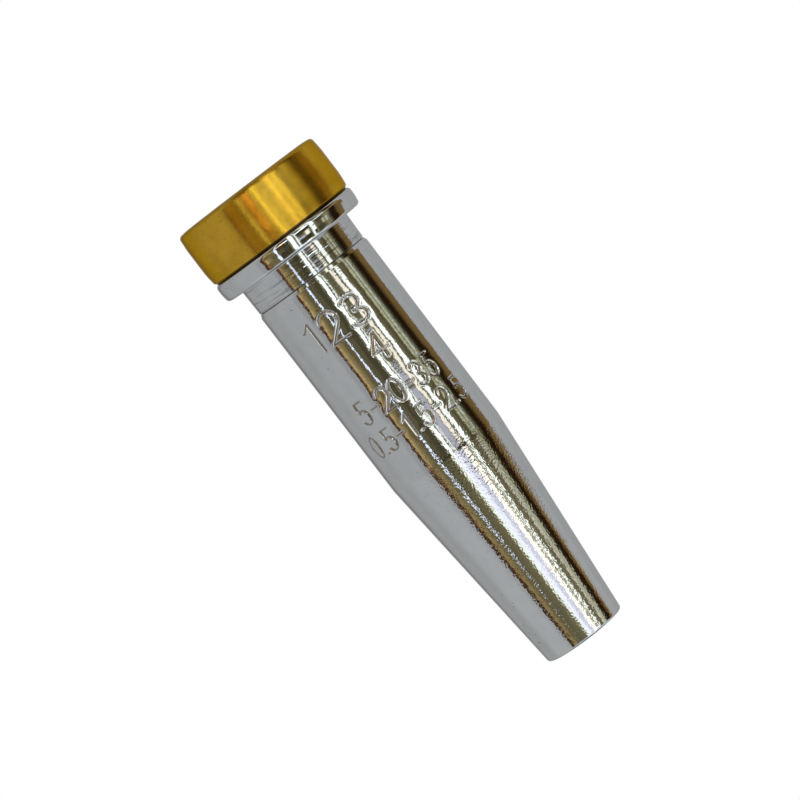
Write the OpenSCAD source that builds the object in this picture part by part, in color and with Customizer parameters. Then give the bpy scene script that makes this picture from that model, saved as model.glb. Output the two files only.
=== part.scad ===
// Two-piece propane cutting tip with a flat seat.
// A plated copper shell sits on the spigot of a turned brass core. The core carries cutting
// oxygen down its middle, and fuel mixture down the space between core and shell.
// The tip stands on its seat face at z = 0, and its flame end points up the Z axis.

/* [Brass head] */
// Diameter of the head, which enters the torch head
head_d = 22.7; // [21:0.1:25]
// Height of the head, from seat face to shell flange
head_h = 8.3; // [7:0.1:11]
// How far the head's side draws in towards the seat face
lead_in = 0.16; // [0.05:0.01:0.3]
// Height of that draw
lead_h = 2.2; // [1:0.1:3]
// How far the head's side draws in towards the shell flange
heel_in = 0.18; // [0.05:0.01:0.3]
// Height of that draw
heel_h = 1.9; // [1:0.1:3]
// Corner radius where the head's side meets the seat face
head_edge_r = 0.55; // [0.1:0.05:0.8]
// Chamfer where the head's side meets the shell flange
head_chamfer = 0.35; // [0.1:0.05:0.7]

/* [Seat face] */
// Width of the inner sealing land, round the oxygen mouth
inner_land_w = 1.8; // [1.2:0.1:2.4]
// Width of the gas groove between the two sealing lands
seat_groove_w = 2.0; // [1.6:0.1:2.6]
// Depth of the gas groove
seat_groove_depth = 1.2; // [0.5:0.1:2.5]
// Width of the countersink at the oxygen mouth
mouth_chamfer = 0.6; // [0.2:0.1:1]
// Width of the relieved rim outside the outer sealing land
rim_w = 1.4; // [0.8:0.1:2]
// Depth of that rim at the head's side
rim_h = 0.15; // [0.05:0.05:0.3]

/* [Gas ports] */
// Number of ports from the gas groove to the chamber
port_count = 6; // [4:1:8]
// Diameter of a port
port_d = 1.8; // [1:0.1:2]

/* [Cutting oxygen passage] */
// Diameter of the first drilling, from the seat face
oxygen_d = 4.0; // [3:0.1:4.4]
// Depth of the first drilling
oxygen_depth = 44; // [20:1:46]
// Diameter of the second drilling
feed_d = 2.2; // [1.6:0.1:2.6]
// Diameter of the cutting orifice
orifice_d = 1.2; // [0.6:0.1:1.5]
// Length of the cutting orifice
orifice_h = 10; // [6:1:14]
// Point angle of the drills
drill_point = 118; // [90:1:140]

/* [Spigot] */
// Diameter of the spigot that the shell sits on
spigot_d = 14.6; // [14.2:0.1:15]
// Length of the spigot
spigot_h = 6.8; // [4:0.1:9]
// Lead-in chamfer of the spigot
spigot_lead = 0.4; // [0.1:0.1:0.6]
// Length of the turned relief under the head
relief_h = 0.8; // [0.4:0.1:1.5]
// Depth of that relief
relief_depth = 0.25; // [0.1:0.05:0.35]

/* [Stem] */
// Diameter of the stem inside the chamber
stem_d = 8.0; // [7:0.1:8.4]
// Length of the stem from the spigot to its shoulder
stem_h = 34; // [20:1:36]
// Length of the tapered shoulder between stem and waist
shoulder_h = 5; // [2:0.5:7]
// Diameter of the waist below the splines
waist_d = 6.0; // [5:0.1:6.2]

/* [Splines] */
// Number of slots that feed the preheat flames
slot_count = 20; // [12:1:24]
// Width of a slot
slot_w = 0.5; // [0.3:0.05:0.6]
// Depth of a slot
slot_depth = 0.6; // [0.3:0.05:0.65]
// Length of the splined band
spline_h = 12; // [6:0.5:13]
// Chamfer at each end of the splined band
spline_chamfer = 0.25; // [0.1:0.05:0.4]
// How far the core stops short of the shell's flame end
recess = 1.5; // [0.5:0.1:2.5]

/* [Shell flange] */
// How far the flange's side sits inside the head's side
flange_inset = 0.08; // [0:0.02:0.6]
// Thickness of the flange
flange_h = 2.8; // [2:0.1:4]
// How far the flange's side draws in towards the head
flange_heel = 0.03; // [0.02:0.01:0.1]
// How far the flange's side draws in towards the nut
flange_draw = 0.2; // [0.05:0.05:0.3]
// Height of the draw towards the nut
flange_draw_h = 1.4; // [0.8:0.1:1.8]
// Corner radius of the flange at the brass head
flange_head_r = 0.65; // [0.1:0.05:0.8]
// Corner radius of the flange at the nut's side
flange_nut_r = 0.5; // [0.2:0.05:0.8]

/* [Shell outside] */
// Diameter of the neck at the flange
neck_d = 17.6; // [17:0.1:17.8]
// How far the neck's side draws in towards the body
neck_draw = 0.09; // [0.02:0.01:0.15]
// Length of the neck
neck_h = 4.0; // [2:0.1:6]
// Fillet between the neck and the flange
neck_fillet = 0.2; // [0.1:0.05:0.5]
// Width of the scribed line at the end of the neck
line_w = 0.2; // [0.1:0.02:0.3]
// Depth of that line
line_depth = 0.15; // [0.05:0.01:0.2]
// Height of the chamfer that leads from neck to body
step_h = 0.5; // [0.2:0.1:1]
// Diameter of the body next to the neck
body_d = 17.85; // [17.8:0.05:18.6]
// Diameter of the body where its taper begins
body_end_d = 17.7; // [17.2:0.05:18.2]
// Length of the body up to its taper
body_h = 29.9; // [24:0.1:36]
// Radius that blends body and taper
blend_r = 30; // [10:1:60]
// Length of the taper
taper_h = 31.2; // [26:0.1:36]
// Diameter of the flame end
tip_d = 12.25; // [11:0.05:13.5]
// Corner radius of the flame end
tip_edge_r = 0.4; // [0.1:0.05:0.6]

/* [Shell inside] */
// Diameter of the gas chamber
chamber_d = 13.2; // [12.8:0.1:13.8]
// Distance from the end of the body to the end of the chamber
chamber_stop = 1.0; // [0:0.5:4]
// Diameter of the bore round the splines
exit_d = 7.6; // [7.4:0.1:8.2]
// Length of the bore round the splines
exit_h = 16.2; // [14.6:0.1:18]
// Chamfer at the mouth of that bore
exit_chamfer = 0.25; // [0.1:0.05:0.5]
// Lead-in chamfer of the socket for the spigot
socket_lead = 0.4; // [0.1:0.1:0.6]

/* [Fits] */
// Radial clearance between spigot and socket
spigot_clearance = 0.01; // [0:0.01:0.05]
// Radial clearance between splines and bore
spline_clearance = 0.02; // [0.01:0.01:0.1]
// Gap between the end of the spigot and the bottom of its socket
socket_gap = 0.2; // [0.1:0.1:1]

/* [Hidden] */
$fn = 96;
arc_step = 15;    // largest turn of one chord in a rounded corner
min_chords = 3;   // chords in the shallowest rounded corner
draw_blend = 10;  // radius that blends the head's side into its draws
flange_blend = 5; // radius that blends the two draws of the flange's side
overcut = 1;      // how far a cutter runs past the face that it opens

// Heights above the seat face
spigot_z = head_h;
spigot_end_z = spigot_z + spigot_h;
stem_end_z = spigot_end_z + stem_h;
waist_z = stem_end_z + shoulder_h;
neck_z = head_h + flange_h;
step_z = neck_z + neck_h;
taper_z = step_z + body_h;
flame_z = taper_z + taper_h;
socket_end_z = spigot_end_z + socket_gap;
chamber_end_z = taper_z - chamber_stop;
exit_z = flame_z - exit_h;
core_end_z = flame_z - recess;
spline_z = core_end_z - spline_h;

// Seat rings, measured outwards from the oxygen mouth
mouth_r = oxygen_d / 2 + mouth_chamfer;
groove_inner_r = mouth_r + inner_land_w;
groove_outer_r = groove_inner_r + seat_groove_w;
port_circle_r = (groove_inner_r + groove_outer_r) / 2;

// Flange that the tip nut clamps, in line with the head
flange_d = head_d - 2 * flange_inset;

// Mating surfaces that core and shell share
socket_r = spigot_d / 2 + spigot_clearance;
spline_r = exit_d / 2 - spline_clearance;

// Direction of a vector, at length 1
function unit(v) = v / norm(v);

// Vector v turned by an angle
function turned(v, angle) =
    [v.x * cos(angle) - v.y * sin(angle), v.x * sin(angle) + v.y * cos(angle)];

// Points that round the corner at b, between a and c. A corner is [radius, height, rounding].
function corner(a, b, c) =
    let (
        tip = [b[0], b[1]],
        back = unit([a[0], a[1]] - tip),
        ahead = unit([c[0], c[1]] - tip),
        half = acos(back * ahead) / 2,
        centre = tip + unit(back + ahead) * b[2] / sin(half),
        start = tip + back * b[2] / tan(half) - centre,
        sweep = (180 - 2 * half) * (cross(back, ahead) > 0 ? -1 : 1),
        chords = max(min_chords, ceil(abs(sweep) / arc_step))
    )
    b[2] == 0 ? [tip] : [for (i = [0 : chords]) centre + turned(start, sweep * i / chords)];

// A closed outline from a list of corners
function rounded(corners) =
    let (n = len(corners))
    [for (i = [0 : n - 1]) each corner(corners[(i + n - 1) % n], corners[i], corners[(i + 1) % n])];

// Half section of the core before it is drilled and slotted, as [radius, height, rounding]
core_corners = [
    [0, 0, 0],
    [head_d / 2 - lead_in - rim_w, 0, 0],
    [head_d / 2 - lead_in, rim_h, head_edge_r],
    [head_d / 2, lead_h, draw_blend],
    [head_d / 2, head_h - heel_h, draw_blend],
    [head_d / 2 - heel_in, head_h - head_chamfer, 0],
    [head_d / 2 - heel_in - head_chamfer, head_h, 0],
    [spigot_d / 2 - relief_depth, head_h, 0],
    [spigot_d / 2 - relief_depth, spigot_z + relief_h, 0],
    [spigot_d / 2, spigot_z + relief_h + relief_depth, 0],
    [spigot_d / 2, spigot_end_z - spigot_lead, 0],
    [spigot_d / 2 - spigot_lead, spigot_end_z, 0],
    [stem_d / 2, spigot_end_z, 0],
    [stem_d / 2, stem_end_z, 0],
    [waist_d / 2, waist_z, 0],
    [waist_d / 2, spline_z - (spline_r - waist_d / 2), 0],
    [spline_r, spline_z, 0],
    [spline_r, core_end_z - spline_chamfer, 0],
    [spline_r - spline_chamfer, core_end_z, 0],
    [0, core_end_z, 0],
];

// Half section of the shell, as [radius, height, rounding]
shell_corners = [
    [socket_r + socket_lead, head_h, 0],
    [flange_d / 2 - flange_heel, head_h, flange_head_r],
    [flange_d / 2, neck_z - flange_draw_h, flange_blend],
    [flange_d / 2 - flange_draw, neck_z, flange_nut_r],
    [neck_d / 2, neck_z, neck_fillet],
    [neck_d / 2 - neck_draw, step_z - line_w, 0],
    [neck_d / 2 - neck_draw - line_depth, step_z - line_w / 2, 0],
    [neck_d / 2 - neck_draw, step_z, 0],
    [body_d / 2, step_z + step_h, 0],
    [body_end_d / 2, taper_z, blend_r],
    [tip_d / 2, flame_z, tip_edge_r],
    [exit_d / 2 + exit_chamfer, flame_z, 0],
    [exit_d / 2, flame_z - exit_chamfer, 0],
    [exit_d / 2, exit_z, 0],
    [chamber_d / 2, chamber_end_z, 0],
    [chamber_d / 2, socket_end_z, 0],
    [socket_r, socket_end_z, 0],
    [socket_r, head_h + socket_lead, 0],
];

// Ring-shaped groove in the seat face, which spreads the gas to the ports
module seat_groove() {
    difference() {
        translate([0, 0, -overcut])
            cylinder(r = groove_outer_r, h = seat_groove_depth + overcut);
        translate([0, 0, -2 * overcut])
            cylinder(r = groove_inner_r, h = seat_groove_depth + 3 * overcut);
    }
}

// Drillings from the groove, through head and spigot, to the gas chamber
module gas_ports() {
    for (i = [0 : port_count - 1])
        rotate([0, 0, 360 * i / port_count])
            translate([port_circle_r, 0, 0])
                cylinder(d = port_d, h = spigot_end_z + overcut);
}

// A drilled hole up to a height, with the drill's point at its end
module drilling(d, top_z) {
    cylinder(d = d, h = top_z);
    translate([0, 0, top_z])
        cylinder(r1 = d / 2, r2 = 0, h = d / 2 / tan(drill_point / 2));
}

// Stepped passage for the cutting oxygen
module oxygen_passage() {
    translate([0, 0, -overcut])
        cylinder(r1 = mouth_r + overcut, r2 = oxygen_d / 2, h = mouth_chamfer + overcut);
    drilling(oxygen_d, oxygen_depth);
    drilling(feed_d, core_end_z - orifice_h);
    cylinder(d = orifice_d, h = core_end_z + overcut);
}

// Sawn slots round the end of the core, each a jet for the preheat flames
module spline_slots() {
    for (i = [0 : slot_count - 1])
        rotate([0, 0, 360 * i / slot_count])
            translate([spline_r - slot_depth, -slot_w / 2, spline_z - overcut])
                cube([slot_depth + overcut, slot_w, spline_h + 2 * overcut]);
}

// Turned brass core: head with its seat face, spigot, stem and splined end
module brass_core() {
    color("goldenrod")
        difference() {
            rotate_extrude() polygon(rounded(core_corners));
            seat_groove();
            gas_ports();
            oxygen_passage();
            spline_slots();
        }
}

// Plated copper shell: flange, neck, body and taper, hollow from socket to flame end
module plated_shell() {
    color("silver")
        rotate_extrude() polygon(rounded(shell_corners));
}

brass_core();
plated_shell();
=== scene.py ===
"""Looks of a two-piece cutting tip: a turned brass core in a bright plated shell.

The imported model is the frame. Both pieces are turned again here with finer surfaces, the
shell is marked with plain numbers, and a small photo studio is set up round them.
Sizes are in millimetres, and every mesh is scaled to metres when it is finished.
"""
import logging
import math
from abc import ABC, abstractmethod
from collections.abc import Iterator, Sequence
from dataclasses import dataclass, field
from enum import Enum

import bmesh
import bpy
from bmesh.types import BMEdge, BMesh, BMLayerItem, BMVert
from bpy.types import Material, Node, NodeSocket, NodeTree, Object
from mathutils import Matrix, Vector
from mathutils.kdtree import KDTree


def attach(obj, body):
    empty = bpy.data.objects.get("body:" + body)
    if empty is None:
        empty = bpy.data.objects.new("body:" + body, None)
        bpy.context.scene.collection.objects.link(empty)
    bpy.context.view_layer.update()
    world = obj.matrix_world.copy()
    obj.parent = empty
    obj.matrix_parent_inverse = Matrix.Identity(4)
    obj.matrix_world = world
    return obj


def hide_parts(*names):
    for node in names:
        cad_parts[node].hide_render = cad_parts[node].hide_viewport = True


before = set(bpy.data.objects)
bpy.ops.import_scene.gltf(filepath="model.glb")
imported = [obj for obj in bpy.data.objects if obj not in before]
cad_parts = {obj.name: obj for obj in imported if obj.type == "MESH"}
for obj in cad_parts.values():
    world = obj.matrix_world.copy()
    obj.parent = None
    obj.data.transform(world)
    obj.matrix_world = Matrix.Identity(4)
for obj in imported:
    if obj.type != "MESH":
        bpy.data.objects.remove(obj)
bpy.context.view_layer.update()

LOG = logging.getLogger("cutting_tip")
MM = 0.001
Z_AXIS = Vector((0.0, 0.0, 1.0))
SHARP_EDGE = math.radians(32.0)
SIGN_STEP = 12.0

Point = tuple[float, float]
Colour = tuple[float, float, float]


@dataclass(frozen=True)
class Corner:
    """A corner of a turned outline, with the radius of the arc that rounds it."""

    radius: float
    height: float
    rounding: float = 0.0


@dataclass(frozen=True)
class Sector:
    """A stretch of the turn, in degrees about Z from the +X axis, and its steps."""

    start: float
    sweep: float
    steps: int


@dataclass(frozen=True)
class FineStretch:
    """A range of heights on the outside that needs closely spaced rows."""

    low: float
    high: float
    row: float


class Turning:
    """A solid of revolution about Z, turned from a closed outline of corners."""

    SUPPORT = 0.05
    LONG = 0.25
    ARC_STEP = math.radians(11.0)
    MIN_ARC_STEPS = 4
    MERGE = 1e-4

    def __init__(self, corners: Sequence[Corner], sectors: Sequence[Sector]) -> None:
        """Takes the outline and the sectors of the turn.

        Args:
            corners: the outline's corners in order, on the +X side.
            sectors: stretches of the turn that follow each other once round.
        """
        self.corners = corners
        self.sectors = sectors

    def build(self, fine: FineStretch | None = None) -> BMesh:
        """Turns the outline into a closed solid.

        Args:
            fine: heights at which the longest outside edge gets extra rows, in the first sector.

        Returns:
            The solid, in millimetres, with merged seams and outward normals.
        """
        bm = bmesh.new()
        self._draw(bm)
        self._support(bm)
        if fine:
            self._refine(bm, fine)
        turn = Matrix.Rotation(math.radians(self.sectors[0].start), 3, "Z")
        bmesh.ops.rotate(bm, verts=bm.verts[:], cent=(0, 0, 0), matrix=turn)
        rail = bm.verts[:] + bm.edges[:]
        for sector in self.sectors:
            turned = bmesh.ops.spin(
                bm, geom=rail, cent=(0, 0, 0), axis=Z_AXIS, dvec=(0, 0, 0),
                angle=math.radians(sector.sweep), steps=sector.steps,
            )
            rail = turned["geom_last"]
        bmesh.ops.remove_doubles(bm, verts=bm.verts[:], dist=self.MERGE)
        if fine:
            self._join_rows(bm, fine)
        bmesh.ops.recalc_face_normals(bm, faces=bm.faces[:])
        return bm

    def _draw(self, bm: BMesh) -> None:
        """Draws the closed outline and rounds its corners.

        Args:
            bm: the empty mesh that takes the outline.
        """
        verts = [bm.verts.new((c.radius, 0.0, c.height)) for c in self.corners]
        for one, other in zip(verts, verts[1:] + verts[:1]):
            bm.edges.new((one, other))
        for i, corner in enumerate(self.corners):
            if corner.rounding:
                after = self._place((i + 1) % len(verts))
                self._round(bm, verts[i], self._place(i - 1), after, corner.rounding)

    def _place(self, index: int) -> Vector:
        """Gives a corner's place in the XZ plane."""
        corner = self.corners[index]
        return Vector((corner.radius, 0.0, corner.height))

    def _round(
        self, bm: BMesh, vert: BMVert, before: Vector, after: Vector, radius: float
    ) -> None:
        """Replaces one corner of the outline by an arc that touches both its edges.

        Args:
            bm: the outline.
            vert: the corner.
            before: the place of the corner before it.
            after: the place of the corner after it.
            radius: the arc's radius.
        """
        inside = (before - vert.co).angle(after - vert.co)
        steps = max(self.MIN_ARC_STEPS, round((math.pi - inside) / self.ARC_STEP))
        bmesh.ops.bevel(
            bm, geom=[vert], offset=radius / math.tan(inside / 2), offset_type="OFFSET",
            segments=steps, profile=0.5, affect="VERTICES", material=-1,
        )

    def _support(self, bm: BMesh) -> None:
        """Adds a point close to both ends of each long edge, so that its shading stays true.

        Args:
            bm: the outline.
        """
        for one, other in [tuple(e.verts) for e in bm.edges if e.calc_length() > self.LONG]:
            near = self._split(one, other, self.SUPPORT)
            self._split(other, near, self.SUPPORT)

    def _refine(self, bm: BMesh, fine: FineStretch) -> None:
        """Splits the outermost edge that spans the fine stretch into closely spaced rows.

        Args:
            bm: the outline.
            fine: the heights and the distance between rows.
        """
        spans = []
        for edge in bm.edges:
            bottom, top = sorted(edge.verts, key=lambda v: v.co.z)
            if bottom.co.z < fine.low and top.co.z > fine.high:
                spans.append((bottom, top))
        bottom, top = max(spans, key=lambda span: span[0].co.x)
        lower = self._split(bottom, top, fine.low - bottom.co.z)
        upper = self._split(lower, top, fine.high - fine.low)
        middle = next(e for e in lower.link_edges if upper in e.verts)
        cuts = round((fine.high - fine.low) / fine.row) - 1
        bmesh.ops.subdivide_edges(bm, edges=[middle], cuts=cuts)

    def _join_rows(self, bm: BMesh, fine: FineStretch) -> None:
        """Joins the closely spaced rows again past the first sector.

        Args:
            bm: the turned solid.
            fine: the heights and the distance between rows.
        """
        first = self.sectors[0]
        rings = []
        for edge in bm.edges:
            one, other = (vert.co for vert in edge.verts)
            inside = fine.low + fine.row / 2 < one.z < fine.high - fine.row / 2
            if inside and abs(one.z - other.z) < fine.row / 2:
                middle = one + other
                turn = math.degrees(math.atan2(middle.y, middle.x)) - first.start
                if turn % 360.0 > first.sweep:
                    rings.append(edge)
        bmesh.ops.dissolve_edges(bm, edges=rings, use_verts=True)

    @staticmethod
    def _split(one: BMVert, other: BMVert, distance: float) -> BMVert:
        """Adds a point on the edge between two points, at a distance from the first."""
        edge = next(e for e in one.link_edges if other in e.verts)
        return bmesh.utils.edge_split(edge, one, distance / edge.calc_length())[1]


def finished_object(name: str, bm: BMesh, material: Material) -> Object:
    """Turns a bmesh in millimetres into a shaded object in metres.

    Args:
        name: the object's name.
        bm: the mesh, which is freed.
        material: the finish of all its faces.

    Returns:
        The linked object, at the origin and unscaled.
    """
    bmesh.ops.scale(bm, vec=(MM, MM, MM), verts=bm.verts[:])
    for face in bm.faces:
        face.smooth = True
    mesh = bpy.data.meshes.new(name)
    bm.to_mesh(mesh)
    bm.free()
    mesh.set_sharp_from_angle(angle=SHARP_EDGE)
    mesh.materials.append(material)
    piece = bpy.data.objects.new(name, mesh)
    bpy.context.scene.collection.objects.link(piece)
    return piece


class Bench:
    """Lays nodes out in one node tree."""

    COLUMN = 190
    COLOURS_IN = (6, 7)
    COLOUR_OUT = 2

    def __init__(self, tree: NodeTree) -> None:
        """Starts with an empty tree."""
        self.tree = tree
        self.tree.nodes.clear()

    def add(
        self, kind: str, inputs: dict[str | int, object] | None = None, **settings: object
    ) -> Node:
        """Adds a node.

        Args:
            kind: the node's type, without the ShaderNode in front.
            inputs: a value or an output socket for each input socket, by name or number.
            settings: values of the node's own properties.

        Returns:
            The new node.
        """
        node = self.tree.nodes.new(f"ShaderNode{kind}")
        node.location.x = self.COLUMN * len(self.tree.nodes)
        for name, value in settings.items():
            setattr(node, name, value)
        for key, value in (inputs or {}).items():
            self.feed(node.inputs[key], value)
        return node

    def feed(self, socket: NodeSocket, value: object) -> None:
        """Links an output to a socket, or sets the socket's value.

        Args:
            socket: the socket.
            value: an output socket, or a number, vector or colour.
        """
        if isinstance(value, NodeSocket):
            self.tree.links.new(value, socket)
        else:
            socket.default_value = value

    def maths(self, operation: str, *values: object) -> NodeSocket:
        """Adds a Math node and gives its output."""
        return self.add("Math", dict(enumerate(values)), operation=operation).outputs[0]

    def blend(self, share: object, one: object, other: object) -> NodeSocket:
        """Mixes two colours.

        Args:
            share: how much of the other colour there is, from 0 to 1.
            one: a colour, or the output socket that gives it.
            other: the other colour.

        Returns:
            The mixed colour.
        """
        inputs = {"Factor": share, **dict(zip(self.COLOURS_IN, (one, other)))}
        mix = self.add("Mix", inputs, data_type="RGBA", clamp_factor=True)
        return mix.outputs[self.COLOUR_OUT]

    def spread(
        self, value: object, low: float, high: float, to_low: float, to_high: float
    ) -> NodeSocket:
        """Maps a range of values smoothly onto another.

        Args:
            value: the output socket that gives the value.
            low: the value that gives to_low.
            high: the value that gives to_high.
            to_low: the result at and below low.
            to_high: the result at and above high.

        Returns:
            The result.
        """
        source = {"Value": value, "From Min": low, "From Max": high}
        inputs = {**source, "To Min": to_low, "To Max": to_high}
        return self.add("MapRange", inputs, interpolation_type="SMOOTHSTEP").outputs[0]


class Effects:
    """The shader groups that both finishes share, each built once."""

    FACE_SHARE = 0.62
    GRAIN_ROUGHNESS = 0.55

    def __init__(self) -> None:
        """Builds the groups."""
        self.tool_lines = self._tool_lines()
        self.grain = self._grain()
        self.zone = self._zone()

    @staticmethod
    def _group(name: str, inputs: dict[str, float], output: str) -> tuple[Bench, Node, Node]:
        """Opens a new group with a vector input called Place and other plain inputs.

        Args:
            name: the group's name.
            inputs: the name and default of each number that it takes.
            output: the name of its one output.

        Returns:
            A bench for the group, its input node and its output node.
        """
        tree = bpy.data.node_groups.new(name, "ShaderNodeTree")
        tree.interface.new_socket("Place", in_out="INPUT", socket_type="NodeSocketVector")
        for key, default in inputs.items():
            socket = tree.interface.new_socket(key, in_out="INPUT", socket_type="NodeSocketFloat")
            socket.default_value = default
        tree.interface.new_socket(output, in_out="OUTPUT", socket_type="NodeSocketFloat")
        bench = Bench(tree)
        return bench, tree.nodes.new("NodeGroupInput"), tree.nodes.new("NodeGroupOutput")

    def _tool_lines(self) -> NodeTree:
        """Makes the fine rings that a cutting tool leaves, round a wall and across a face alike.

        Returns:
            The group.
        """
        inputs = {"Pitch": 0.0001, "Wander": 3.0}
        bench, given, result = self._group("tool_lines", inputs, "Height")
        place = bench.add("SeparateXYZ", {0: given.outputs["Place"]})
        flat = bench.add("CombineXYZ", {0: place.outputs[0], 1: place.outputs[1]})
        radius = bench.add("VectorMath", {0: flat.outputs[0]}, operation="LENGTH").outputs["Value"]
        round_ = bench.add("VectorMath", {0: flat.outputs[0]}, operation="NORMALIZE")
        spoke = bench.add("SeparateXYZ", {0: round_.outputs[0]})
        travel = bench.maths("MULTIPLY_ADD", radius, self.FACE_SHARE, place.outputs[2])
        line = bench.maths("DIVIDE", travel, given.outputs["Pitch"])
        across = bench.maths("MULTIPLY", spoke.outputs[0], given.outputs["Wander"])
        along = bench.maths("MULTIPLY", spoke.outputs[1], given.outputs["Wander"])
        where = bench.add("CombineXYZ", {0: line, 1: across, 2: along})
        inputs = {"Vector": where.outputs[0], "Scale": 1.0, "Detail": 1.0, "Roughness": 0.5}
        noise = bench.add("TexNoise", inputs)
        bench.feed(result.inputs[0], noise.outputs[0])
        return bench.tree

    def _grain(self) -> NodeTree:
        """Makes an even grain of a given size.

        Returns:
            The group.
        """
        bench, given, result = self._group("grain", {"Size": 0.0002, "Detail": 2.0}, "Height")
        scale = bench.maths("DIVIDE", 1.0, given.outputs["Size"])
        inputs = {"Vector": given.outputs["Place"], "Scale": scale}
        inputs |= {"Detail": given.outputs["Detail"], "Roughness": self.GRAIN_ROUGHNESS}
        noise = bench.add("TexNoise", inputs)
        bench.feed(result.inputs[0], noise.outputs[0])
        return bench.tree

    def _zone(self) -> NodeTree:
        """Makes a mask of what lies between two heights, with soft ends.

        Returns:
            The group.
        """
        inputs = {"Low": 0.0, "High": 0.01, "Edge": 0.0002}
        bench, given, result = self._group("zone", inputs, "Mask")
        place = bench.add("SeparateXYZ", {0: given.outputs["Place"]})
        above = bench.maths("SUBTRACT", place.outputs[2], given.outputs["Low"])
        below = bench.maths("SUBTRACT", given.outputs["High"], place.outputs[2])
        inside = bench.maths("DIVIDE", bench.maths("MINIMUM", above, below), given.outputs["Edge"])
        bench.feed(result.inputs[0], bench.spread(inside, -1.0, 1.0, 0.0, 1.0))
        return bench.tree


@dataclass(frozen=True)
class Stain:
    """A colour that covers a metal where a mask rises from one level to another."""

    colour: Colour
    low: float
    high: float
    share: float


class Coating(Bench):
    """A bench for a metal's finish, with the shared effects at hand."""

    def __init__(self, tree: NodeTree, effects: Effects) -> None:
        """Starts with the object's coordinates.

        Args:
            tree: the material's node tree, which is emptied.
            effects: the shared shader groups.
        """
        super().__init__(tree)
        self.effects = effects
        self.place = self.add("TexCoord").outputs["Object"]

    def grain(self, values: dict[str, float]) -> NodeSocket:
        """Gives the height of a grain of this size and detail."""
        return self._effect(self.effects.grain, values)

    def tool_lines(self, values: dict[str, float]) -> NodeSocket:
        """Gives the height of tool lines of this pitch and wander."""
        return self._effect(self.effects.tool_lines, values)

    def zone(self, values: dict[str, float]) -> NodeSocket:
        """Gives the mask of a zone between these heights."""
        return self._effect(self.effects.zone, values)

    def _effect(self, group: NodeTree, values: dict[str, float]) -> NodeSocket:
        """Places a shared effect, with its numbers by the names of their inputs."""
        return self.add("Group", {"Place": self.place, **values}, node_tree=group).outputs[0]

    def stain(self, colour: object, mask: NodeSocket, stain: Stain) -> NodeSocket:
        """Covers a colour with a stain where a mask rises."""
        amount = self.spread(mask, stain.low, stain.high, 0.0, stain.share)
        return self.blend(amount, colour, (*stain.colour, 1.0))


@dataclass(frozen=True)
class Finish(ABC):
    """A metal finish. Sizes in a finish are in metres."""

    name: str
    colour: Colour
    roughness: float
    # Painted shade colour, used in the seam between the pieces and in the scribed groove.
    groove_shade: Colour = (0.09, 0.06, 0.025)

    # Heights of the seam between head and flange, which get painted shade.
    SEAM_SHADE = {"Low": 0.00806, "High": 0.00834, "Edge": 0.00006}

    def material(self, effects: Effects) -> Material:
        """Builds the material.

        Args:
            effects: the shared shader groups.

        Returns:
            The finished material.
        """
        material = bpy.data.materials.new(self.name)
        material.use_nodes = True
        material.diffuse_color = (*self.colour, 1.0)
        coat = Coating(material.node_tree, effects)
        shader = coat.add("BsdfPrincipled", self.inputs(coat))
        coat.add("OutputMaterial", {"Surface": shader.outputs[0]})
        return material

    def inputs(self, coat: Coating) -> dict[str, object]:
        """Gives what the shader's inputs get.

        Args:
            coat: the finish's bench.

        Returns:
            A value or an output socket for each input, by name.
        """
        bump = coat.add("Bump", {"Height": self.relief(coat), "Distance": 1.0})
        return {
            "Metallic": 1.0,
            "Roughness": self.roughness,
            "Base Color": self.tint(coat),
            "Normal": bump.outputs[0],
        }

    def shade_seam(self, coat: Coating, colour: object) -> NodeSocket:
        """Darkens a colour with painted shade in the groove between the two pieces."""
        return coat.blend(coat.zone(self.SEAM_SHADE), colour, (*self.groove_shade, 1.0))

    @abstractmethod
    def tint(self, coat: Coating) -> NodeSocket:
        """Gives the metal's colour."""

    @abstractmethod
    def relief(self, coat: Coating) -> NodeSocket:
        """Gives the height of the metal's fine relief."""


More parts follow.
